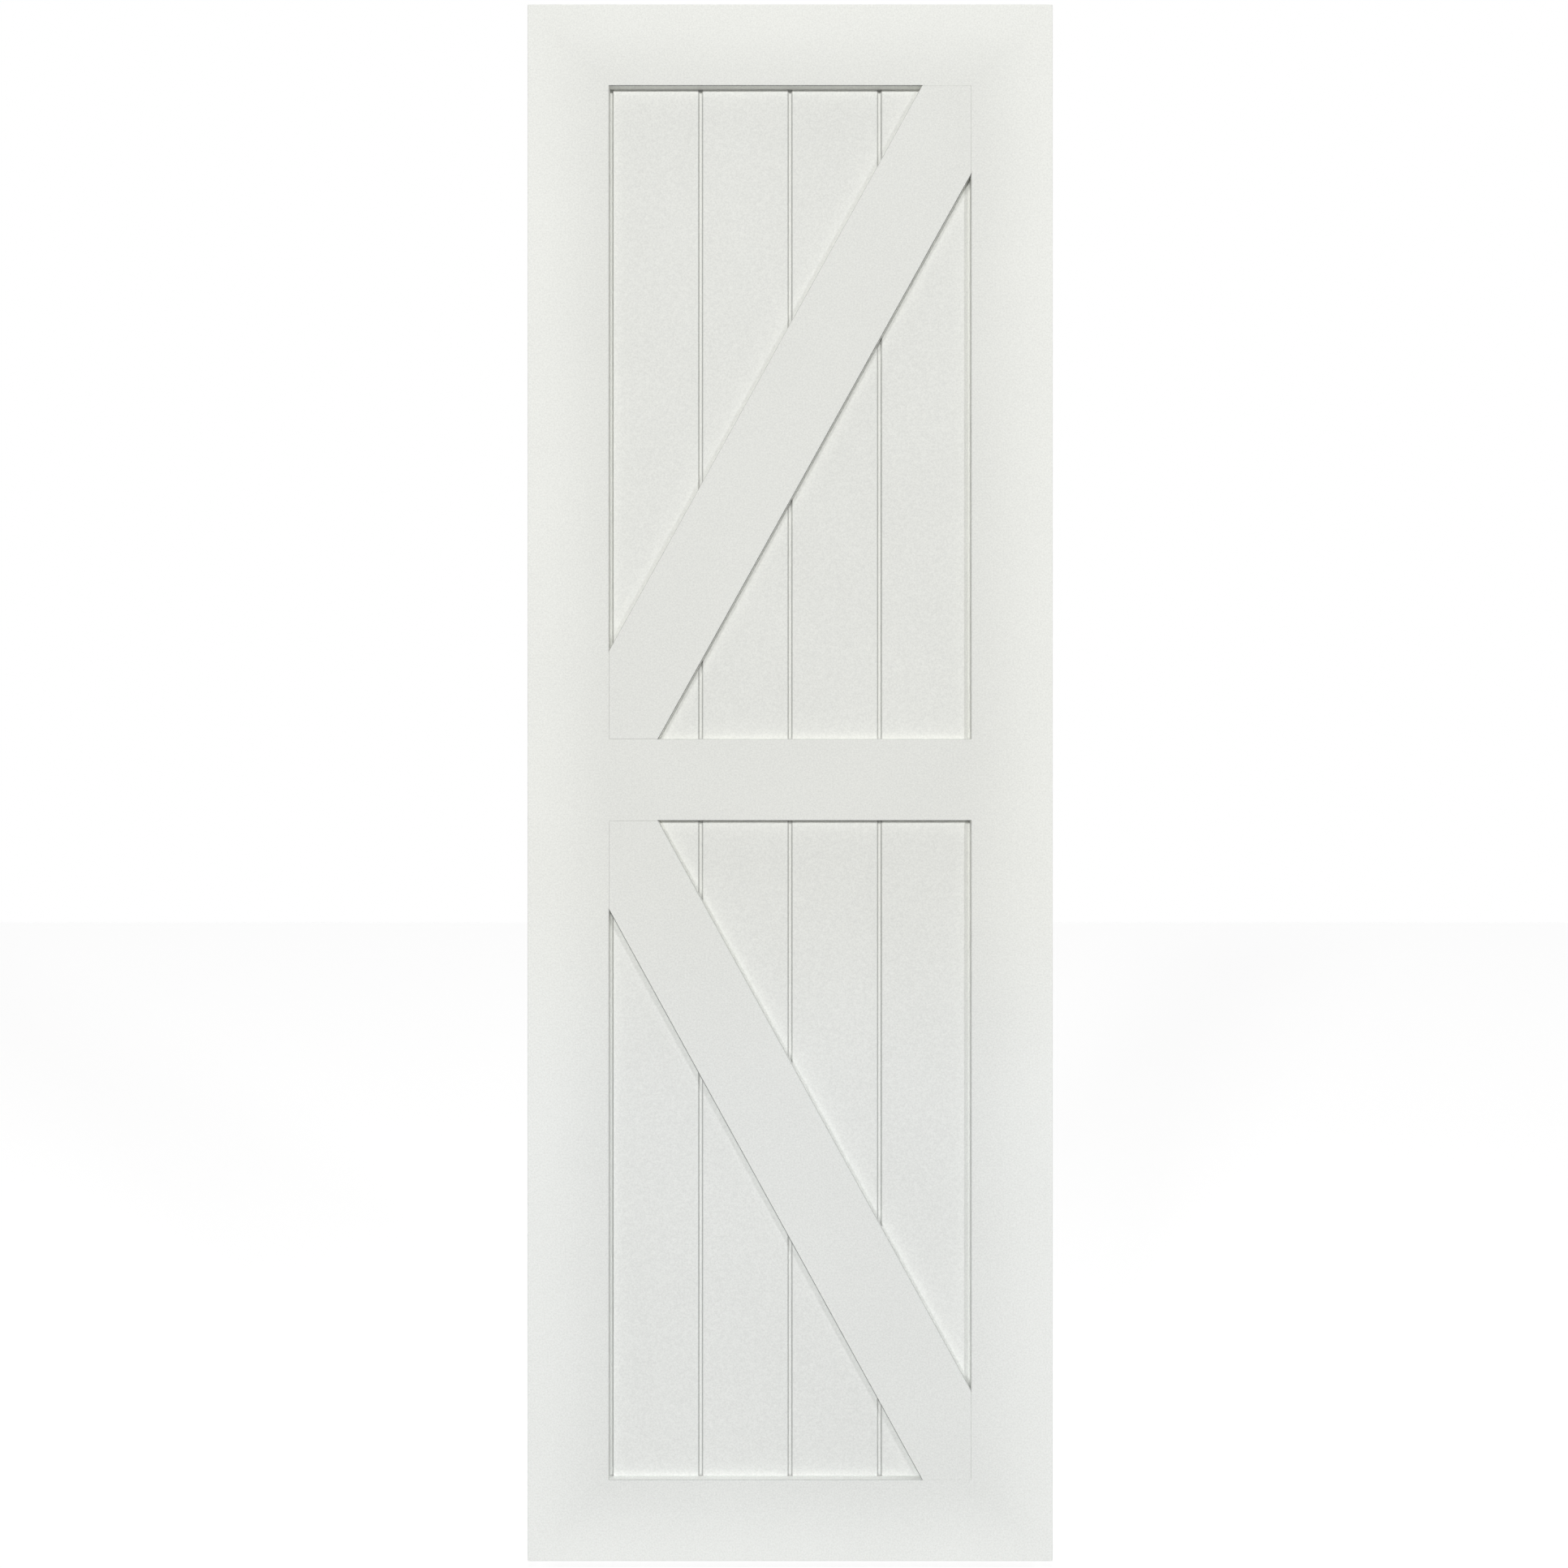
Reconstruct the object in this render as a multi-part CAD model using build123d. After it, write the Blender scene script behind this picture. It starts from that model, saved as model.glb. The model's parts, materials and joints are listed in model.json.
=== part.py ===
from build123d import *

import math
import os

# All sizes are in millimetres. X runs across the leaf, Y from its front face (-Y) to its back,
# and Z up. The origin is the middle of the leaf's top edge, so the leaf hangs below it.

# The leaf as a whole
leaf_width = 720.0
leaf_height = 2134.0
leaf_thickness = 35.0
arris_radius = 1.5

# Frame boards and braces
board_width = 112.0  # the two stiles and the three rails are cut to one width
middle_rail_rise = 4.0  # how far the middle rail sits above half height
brace_width = 118.0
recess_chamfer = 0.8  # eased edges of the frame and braces round each recess

# Planks that fill the two openings
planks_per_opening = 4
plank_thickness = 15.0
plank_chamfer = 2.0
last_chamfer_width = 5.0  # the chamfer beside the right stile is as deep, but wider
reveal_width = 3.0  # flat floor between two chamfers
reveal_shoulder = 1.0  # straight drop from a chamfer to the floor

# Tongues and the grooves that take them
tongue_length = 6.0
tongue_side_play = 0.1
tongue_end_play = 0.5

# Grooves in the rails that house the plank ends
housing_depth = 10.0
housing_side_play = 0.1
plank_end_play = 1.0

# Hairline all round a brace's cut ends
brace_joint_gap = 0.2

# Sizes that follow from the ones above
opening_width = leaf_width - 2 * board_width
reveal_depth = plank_chamfer + reveal_shoulder
step_thickness = plank_thickness - 2 * reveal_depth
tongue_thickness = plank_thickness / 3
tongue_groove_width = tongue_thickness + 2 * tongue_side_play
tongue_groove_depth = tongue_length + tongue_end_play
housing_width = plank_thickness + 2 * housing_side_play
brace_thickness = (leaf_thickness - plank_thickness) / 2

reveals_per_opening = planks_per_opening + 1
plank_face_width = (opening_width - reveals_per_opening * reveal_width) / planks_per_opening
plank_pitch = plank_face_width + reveal_width

leaf_foot = -leaf_height
bottom_rail_head = leaf_foot + board_width
middle_rail_foot = middle_rail_rise - (leaf_height + board_width) / 2
middle_rail_head = middle_rail_foot + board_width
top_rail_foot = -board_width

# Each opening's foot, head and the lean of its front brace: 1 climbs to the right, -1 to the left
openings = {
    "upper": (middle_rail_head, top_rail_foot, 1),
    "lower": (bottom_rail_head, middle_rail_foot, -1),
}


def diagonal_strip(width, height, lean):
    """Outline of a brace before its ends are cut, along the diagonal of a rectangle."""
    slope = math.degrees(math.atan2(height, width))
    return Rot(0, 0, lean * slope) * Rectangle(2 * math.hypot(width, height), brace_width)


def raise_from_planks(outline, foot, head):
    """Solid from the planks' front to the leaf's front, on an outline centred in an opening."""
    plank_face = Plane.XZ.offset(plank_thickness / 2)
    return extrude(plank_face * Pos(0, (foot + head) / 2) * outline, amount=brace_thickness)


def leaf_blank():
    """The leaf as one slab with its recesses and eased edges; its frame and braces are cut from it."""
    slab = Pos(0, 0, leaf_foot / 2) * Box(leaf_width, leaf_thickness, leaf_height)
    slab = fillet(slab.edges(), radius=arris_radius)
    for foot, head, lean in openings.values():
        opening = Rectangle(opening_width, head - foot)
        recess = raise_from_planks(opening - diagonal_strip(opening_width, head - foot, lean), foot, head)
        slab -= recess
        slab -= mirror(recess, about=Plane.XZ)
    faces = slab.faces().sort_by(Axis.Y)
    mouths = faces[0].inner_wires() + faces[-1].inner_wires()
    return chamfer(mouths.edges(), length=recess_chamfer)


def stile(side):
    """Upright frame board, grooved along its inner edge; side is -1 at the left and 1 at the right."""
    board = Box(board_width, leaf_thickness, leaf_height)
    board = Pos(side * (opening_width + board_width) / 2, 0, leaf_foot / 2) * board
    groove = Box(tongue_groove_depth, tongue_groove_width, leaf_height)
    groove = Pos(side * (opening_width + tongue_groove_depth) / 2, 0, leaf_foot / 2) * groove
    return board - groove


def rail(foot, housed_above, housed_below):
    """Level frame board with a stub tongue at each end and a housing for plank ends where asked."""
    head = foot + board_width
    length = opening_width + 2 * tongue_length
    middle = Pos(0, 0, (foot + head) / 2)
    board = middle * Box(opening_width, leaf_thickness, board_width)
    board += middle * Box(length, tongue_thickness, board_width)
    housing = Box(length, housing_width, housing_depth)
    if housed_above:
        board -= Pos(0, 0, head - housing_depth / 2) * housing
    if housed_below:
        board -= Pos(0, 0, foot + housing_depth / 2) * housing
    return board


def tongued_edge(x, side, chamfer_width):
    """Section of a plank edge with chamfers, steps and a tongue, from front to back."""
    step_end = x + side * reveal_width
    tongue_tip = step_end + side * tongue_length
    front_half = [
        (x - side * chamfer_width, -plank_thickness / 2),
        (x, -plank_thickness / 2 + plank_chamfer),
        (x, -step_thickness / 2),
        (step_end, -step_thickness / 2),
        (step_end, -tongue_thickness / 2),
        (tongue_tip, -tongue_thickness / 2),
    ]
    return front_half + [(px, -py) for px, py in reversed(front_half)]


def grooved_edge(x, side):
    """Section of a plank edge with chamfers and a groove for the next plank's tongue, front to back."""
    groove_floor = x - side * tongue_groove_depth
    front_half = [
        (x - side * plank_chamfer, -plank_thickness / 2),
        (x, -plank_thickness / 2 + plank_chamfer),
        (x, -tongue_groove_width / 2),
        (groove_floor, -tongue_groove_width / 2),
    ]
    return front_half + [(px, -py) for px, py in reversed(front_half)]


def plank(number, foot, head):
    """One upright plank, counted from the left; the first has a tongue on both of its edges."""
    left = -opening_width / 2 + reveal_width + (number - 1) * plank_pitch
    right = left + plank_face_width
    left_edge = tongued_edge(left, -1, plank_chamfer) if number == 1 else grooved_edge(left, -1)
    right_chamfer = last_chamfer_width if number == planks_per_opening else plank_chamfer
    right_edge = tongued_edge(right, 1, right_chamfer)
    section = make_face(Polyline(*right_edge, *reversed(left_edge), close=True))
    seat = foot - housing_depth
    length = head + housing_depth - plank_end_play - seat
    return Pos(0, 0, seat) * extrude(section, amount=length)


def brace(foot, head, lean):
    """Front brace along an opening's diagonal, a hairline clear of the frame at its cut ends."""
    clear_width = opening_width - 2 * brace_joint_gap
    clear_height = head - foot - 2 * brace_joint_gap
    outline = diagonal_strip(opening_width, head - foot, lean) & Rectangle(clear_width, clear_height)
    return raise_from_planks(outline, foot, head)


def build_nodes():
    """Every piece of the leaf under its node name."""
    blank = leaf_blank()
    nodes = {
        "stile_left": stile(-1) & blank,
        "stile_right": stile(1) & blank,
        "top_rail": rail(top_rail_foot, housed_above=False, housed_below=True) & blank,
        "middle_rail": rail(middle_rail_foot, housed_above=True, housed_below=True) & blank,
        "bottom_rail": rail(leaf_foot, housed_above=True, housed_below=False) & blank,
    }
    for name, (foot, head, lean) in openings.items():
        for number in range(1, planks_per_opening + 1):
            nodes[f"{name}_plank_{number}"] = plank(number, foot, head)
        front = brace(foot, head, lean) & blank
        nodes[f"{name}_brace_front"] = front
        nodes[f"{name}_brace_back"] = mirror(front, about=Plane.XZ)
    return nodes


os.makedirs("parts", exist_ok=True)
for node_name, solid in build_nodes().items():
    export_step(solid, f"parts/{node_name}.step")
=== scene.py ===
import json
import math

import bpy
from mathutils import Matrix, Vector


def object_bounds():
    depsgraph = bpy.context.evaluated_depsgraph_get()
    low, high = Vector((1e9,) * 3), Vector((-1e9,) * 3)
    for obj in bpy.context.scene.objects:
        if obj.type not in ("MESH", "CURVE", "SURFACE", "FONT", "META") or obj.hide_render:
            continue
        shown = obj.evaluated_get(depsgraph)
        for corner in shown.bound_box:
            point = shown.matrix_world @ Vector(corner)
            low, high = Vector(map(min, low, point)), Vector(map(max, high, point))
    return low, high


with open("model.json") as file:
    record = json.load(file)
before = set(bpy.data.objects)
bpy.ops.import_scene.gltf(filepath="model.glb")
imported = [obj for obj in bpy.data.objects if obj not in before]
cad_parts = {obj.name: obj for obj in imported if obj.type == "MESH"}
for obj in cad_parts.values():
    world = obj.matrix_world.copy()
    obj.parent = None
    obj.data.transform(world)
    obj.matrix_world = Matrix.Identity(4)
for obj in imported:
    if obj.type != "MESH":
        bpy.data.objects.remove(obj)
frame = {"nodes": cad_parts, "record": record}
cad_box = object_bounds()

# The photograph's frame, in pixels of its 1932 x 1932 image
image_size = 1932
leaf_height_px = 1919.1
leaf_centre_px = (973.5, 964.45)

# Camera and floor, in metres
camera_distance = 1.72
sensor_width = 0.036
floor_gap = 0.008
floor_size = 16.0

# The floor's own grey throws little light up at the leaf, and a glow where it is seen makes it white
floor_tone = 0.4
floor_glow = 0.77

# Key lamp: a round softbox before the leaf, in metres from the middle of its top edge, and its watts
key_place = (0.0, -8.0, 2.1)
key_diameter = 0.7
key_power = 258.0

# Distant lamps: elevation, azimuth from straight before the leaf and softness in degrees, then strength
lamps = {
    "right": (11.0, 42.0, 8.0, 0.64),
    "left": (14.0, -25.0, 9.0, 0.80),
    "overhead": (84.0, 0.0, 10.0, 0.55),
    "back_right": (10.0, 130.0, 12.0, 1.65),
    "back_left": (10.0, -130.0, 12.0, 1.65),
}
ambient_strength = 0.03

# Paint: linear colours above and below, and the heights between which one turns into the other. The paler,
# cooler colour below is painted light, evening out the lamps' light towards the foot.
paint_colour = (0.855, 0.862, 0.822)
painted_light_colour_below = (0.872, 0.886, 0.863)
painted_light_below_starts = -1.15
painted_light_below_ends = -1.55

# Shares by which the paint's tone changes, and the width of the paler border. The stipple and clouds are
# the coat's own; the paler border is painted light, and the greyer eased edges are painted shade.
stipple_share = 0.07
cloud_share = 0.012
painted_light_border_share = 0.1
painted_light_border_width = 0.13
eased_edge_painted_shade = -0.3
eased_edge_painted_shade_below = -0.7  # on eased edges that look down

# The painted shade lies on eased edges and chamfers, which are turned 45 degrees from the face, and lie
# inside the leaf's outer edges.
# Each pair gives where a share is full and where it ends.
eased_edge_depthwise = math.sqrt(0.5)  # the depthwise part of such a surface's direction
eased_edge_slack = (0.05, 0.15)  # how far that part may be off
looks_down = (-0.3, -0.1)  # the upward part of its direction
outline_margin = 0.004

# The paint's noises: the middle of their range, how fine they are, and the stipple's orange peel
noise_middle = (0.3, 0.7)
cloud_noise = {"Scale": 5.0, "Detail": 3.0}
stipple_noise = {"Scale": 450.0, "Detail": 2.0, "Roughness": 0.65}
orange_peel = {"Strength": 0.3, "Distance": 0.0003}
roughness_range = (0.71, 0.79)
paint_sheen = 0.3

# One faint speck on the front of the middle rail
speck_place = (-0.1523, -0.0175, -1.0371)
speck_radius = 0.0014
speck_share = -0.12

leaf_low = Vector(cad_box[0])
leaf_high = Vector(cad_box[1])
leaf_centre = (leaf_low + leaf_high) / 2
slots = {part["node"]: part["material_slot"] for part in frame["record"]["subparts"]}


class Nodes:
    """Adds and links the nodes of one material or world, a line each."""

    def __init__(self, owner):
        owner.use_nodes = True
        self.tree = owner.node_tree
        self.tree.nodes.clear()

    def add(self, kind, links=None, inputs=None, **settings):
        node = self.tree.nodes.new(kind)
        for name, value in settings.items():
            setattr(node, name, value)
        for name, value in (inputs or {}).items():
            node.inputs[name].default_value = value
        for name, source in (links or {}).items():
            self.tree.links.new(source, node.inputs[name])
        return node

    def math(self, operation, first, second=0.0):
        """One operation on two values, each a socket or a number."""
        node = self.add("ShaderNodeMath", operation=operation)
        for socket, value in zip(node.inputs, (first, second)):
            if isinstance(value, (int, float)):
                socket.default_value = value
            else:
                self.tree.links.new(value, socket)
        return node.outputs[0]

    def map(self, value, low, high, to_low, to_high, curve="LINEAR"):
        """The value from low..high moved to to_low..to_high, and held at the ends."""
        ends = {"From Min": low, "From Max": high, "To Min": to_low, "To Max": to_high}
        node = self.add("ShaderNodeMapRange", {"Value": value}, ends, interpolation_type=curve)
        return node.outputs["Result"]


def place_camera():
    """Looks straight at the front face, from a little left of the leaf's middle."""
    metres_per_px = (leaf_high.z - leaf_low.z) / leaf_height_px
    right = (image_size / 2 - leaf_centre_px[0]) * metres_per_px
    up = (leaf_centre_px[1] - image_size / 2) * metres_per_px
    data = bpy.data.cameras.new("camera")
    data.sensor_width = sensor_width * 1000
    data.lens = data.sensor_width * camera_distance / (image_size * metres_per_px)
    camera = bpy.data.objects.new("camera", data)
    camera.location = (leaf_centre.x + right, leaf_low.y - camera_distance, leaf_centre.z + up)
    camera.rotation_euler = (math.radians(90), 0, 0)
    bpy.context.scene.collection.objects.link(camera)
    bpy.context.scene.camera = camera


def place_key():
    """A round softbox high before the leaf, aimed at its middle."""
    data = bpy.data.lights.new("key", "AREA")
    data.shape = "DISK"
    data.size = key_diameter
    data.energy = key_power
    lamp = bpy.data.objects.new("key", data)
    lamp.location = key_place
    lamp.rotation_euler = (leaf_centre - lamp.location).to_track_quat("-Z", "Y").to_euler()
    lamp.visible_camera = False
    bpy.context.scene.collection.objects.link(lamp)


def place_lamps():
    """Distant lamps from both sides, one overhead for the ledges, and two behind for the back and edges."""
    for name, (elevation, azimuth, softness, strength) in lamps.items():
        data = bpy.data.lights.new(name, "SUN")
        data.energy = strength
        data.angle = math.radians(softness)
        lamp = bpy.data.objects.new(name, data)
        lamp.rotation_euler = (math.radians(90 - elevation), 0, math.radians(azimuth))
        bpy.context.scene.collection.objects.link(lamp)


def seen_directly(nodes):
    """1 for a ray that shows the surroundings as such: to the camera, in a gloss or through glass."""
    path = nodes.add("ShaderNodeLightPath")
    camera_or_gloss = nodes.math("MAXIMUM", path.outputs["Is Camera Ray"], path.outputs["Is Glossy Ray"])
    return nodes.math("MAXIMUM", camera_or_gloss, path.outputs["Is Transmission Ray"])


def make_world():
    """Even white light from all round, and a white background where it is seen."""
    world = bpy.data.worlds.new("studio")
    bpy.context.scene.world = world
    nodes = Nodes(world)
    strength = nodes.map(seen_directly(nodes), 0, 1, ambient_strength, 1)
    background = nodes.add("ShaderNodeBackground", {"Strength": strength}, {"Color": (1, 1, 1, 1)})
    nodes.add("ShaderNodeOutputWorld", {"Surface": background.outputs["Background"]})


def floor_material():
    """Pale floor that reads as white where it is lit and keeps the leaf's shadow."""
    material = bpy.data.materials.new("pale_floor")
    nodes = Nodes(material)
    grey = (floor_tone, floor_tone, floor_tone, 1)
    diffuse = nodes.add("ShaderNodeBsdfDiffuse", inputs={"Color": grey})
    strength = nodes.math("MULTIPLY", seen_directly(nodes), floor_glow)
    glow = nodes.add("ShaderNodeEmission", {"Strength": strength})
    both = nodes.add("ShaderNodeAddShader", {0: diffuse.outputs[0], 1: glow.outputs[0]})
    nodes.add("ShaderNodeOutputMaterial", {"Surface": both.outputs[0]})
    return material


def make_floor():
    """Level floor just clear of the leaf's foot."""
    half = floor_size / 2
    height = leaf_low.z - floor_gap
    corners = [(-half, -half, height), (half, -half, height), (half, half, height), (-half, half, height)]
    mesh = bpy.data.meshes.new("floor")
    mesh.from_pydata(corners, [], [(0, 1, 2, 3)])
    mesh.materials.append(floor_material())
    floor = bpy.data.objects.new("floor", mesh)
    bpy.context.scene.collection.objects.link(floor)


def border_distance(nodes, axes):
    """How far inside the leaf's nearest border a point lies, as seen from the front."""
    distances = []
    for index, axis in ((0, "X"), (2, "Z")):
        offset = nodes.math("SUBTRACT", axes.outputs[axis], leaf_centre[index])
        half_size = leaf_high[index] - leaf_centre[index]
        distances.append(nodes.math("SUBTRACT", half_size, nodes.math("ABSOLUTE", offset)))
    return nodes.math("MINIMUM", *distances)


def clouds(nodes, place):
    """Share by which the coat's tone drifts from place to place."""
    noise = nodes.add("ShaderNodeTexNoise", {"Vector": place}, cloud_noise)
    return nodes.map(noise.outputs["Fac"], *noise_middle, -cloud_share, cloud_share)


def painted_edge_shade(nodes, inside_by):
    """Share of painted shade on eased edges and chamfers, most on those that look down."""
    direction = nodes.add("ShaderNodeNewGeometry").outputs["True Normal"]
    direction = nodes.add("ShaderNodeSeparateXYZ", {0: direction})
    depthwise = nodes.math("ABSOLUTE", direction.outputs["Y"])
    off_edge = nodes.math("ABSOLUTE", nodes.math("SUBTRACT", depthwise, eased_edge_depthwise))
    on_edge = nodes.map(off_edge, *eased_edge_slack, 1, 0)
    inside = nodes.math("GREATER_THAN", inside_by, outline_margin)
    share = nodes.map(direction.outputs["Z"], *looks_down, eased_edge_painted_shade_below, eased_edge_painted_shade)
    return nodes.math("MULTIPLY", share, nodes.math("MULTIPLY", on_edge, inside))


def speck(nodes, place):
    """Share by which one small speck darkens the coat."""
    distance = nodes.add("ShaderNodeVectorMath", {0: place}, {1: speck_place}, operation="DISTANCE")
    distance = distance.outputs["Value"]
    return nodes.map(distance, speck_radius / 2, speck_radius, speck_share, 0, "SMOOTHSTEP")


def paint(name):
    """Sprayed matt paint: a fine orange peel, slow changes of tone, painted light as a paler border and a
    paler, cooler tint below, and painted shade on eased edges.
    """
    material = bpy.data.materials.new(name)
    nodes = Nodes(material)
    place = nodes.add("ShaderNodeTexCoord").outputs["Object"]
    axes = nodes.add("ShaderNodeSeparateXYZ", {0: place})
    inside_by = border_distance(nodes, axes)
    stipple = nodes.add("ShaderNodeTexNoise", {"Vector": place}, stipple_noise).outputs["Fac"]

    tone = nodes.map(stipple, *noise_middle, 1 - stipple_share, 1 + stipple_share)
    # Painted light: the coat is paler along the leaf's outer borders.
    painted_light_border = nodes.map(inside_by, 0, painted_light_border_width, painted_light_border_share, 0, "SMOOTHSTEP")
    for share in (painted_light_border, clouds(nodes, place), painted_edge_shade(nodes, inside_by), speck(nodes, place)):
        tone = nodes.math("ADD", tone, share)

    # Painted light: the lower part turns paler and cooler, evening out the lamps' light towards the foot.
    # The mix node's vectors are its inputs 4 and 5 and its output 1
    painted_light_below = nodes.map(axes.outputs["Z"], painted_light_below_ends, painted_light_below_starts, 1, 0, "SMOOTHSTEP")
    colours = {4: paint_colour, 5: painted_light_colour_below}
    tint = nodes.add("ShaderNodeMix", {0: painted_light_below}, colours, data_type="VECTOR").outputs[1]
    colour = nodes.add("ShaderNodeVectorMath", {0: tint, "Scale": tone}, operation="SCALE")
    roughness = nodes.map(stipple, *noise_middle, *roughness_range)
    peel = nodes.add("ShaderNodeBump", {"Height": stipple}, orange_peel)
    links = {"Base Color": colour.outputs[0], "Roughness": roughness, "Normal": peel.outputs[0]}
    surface = nodes.add("ShaderNodeBsdfPrincipled", links, {"Specular IOR Level": paint_sheen})
    nodes.add("ShaderNodeOutputMaterial", {"Surface": surface.outputs[0]})
    return material


def paint_leaf():
    """Gives every board the paint of its slot in the record."""
    coats = {slot: paint(slot) for slot in sorted(set(slots.values()))}
    for name, board in frame["nodes"].items():
        board.data.materials.clear()
        board.data.materials.append(coats[slots[name]])


place_camera()
place_key()
place_lamps()
make_world()
make_floor()
paint_leaf()

bpy.context.scene.view_settings.view_transform = "Standard"
